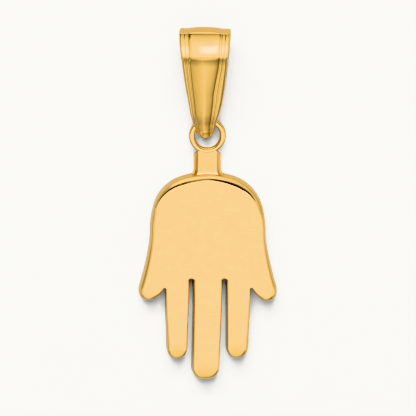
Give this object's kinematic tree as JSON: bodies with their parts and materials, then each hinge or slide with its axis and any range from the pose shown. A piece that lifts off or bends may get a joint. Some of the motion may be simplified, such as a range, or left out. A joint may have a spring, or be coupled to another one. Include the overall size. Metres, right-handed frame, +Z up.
{
  "type": "hamsa pendant",
  "caption": "Flat hand-shaped pendant with flared thumbs, a neck tab and a soldered ring, on a tapered fold-over bail for a chain.",
  "frame": {"origin": "middle of the part's box, on the surface that the pendant lies on", "axes": "+Y from the middle fingertip to the bail, +Z up from the surface, out of the pendant's back, +X across the hand"},
  "size_m": [0.0098, 0.0266, 0.0036],
  "materials": {
    "hand": "polished yellow gold",
    "bail": "polished yellow gold"
  },
  "bodies": {
    "root": {"hand": "hand", "bail": "bail"}
  },
  "joints": []
}
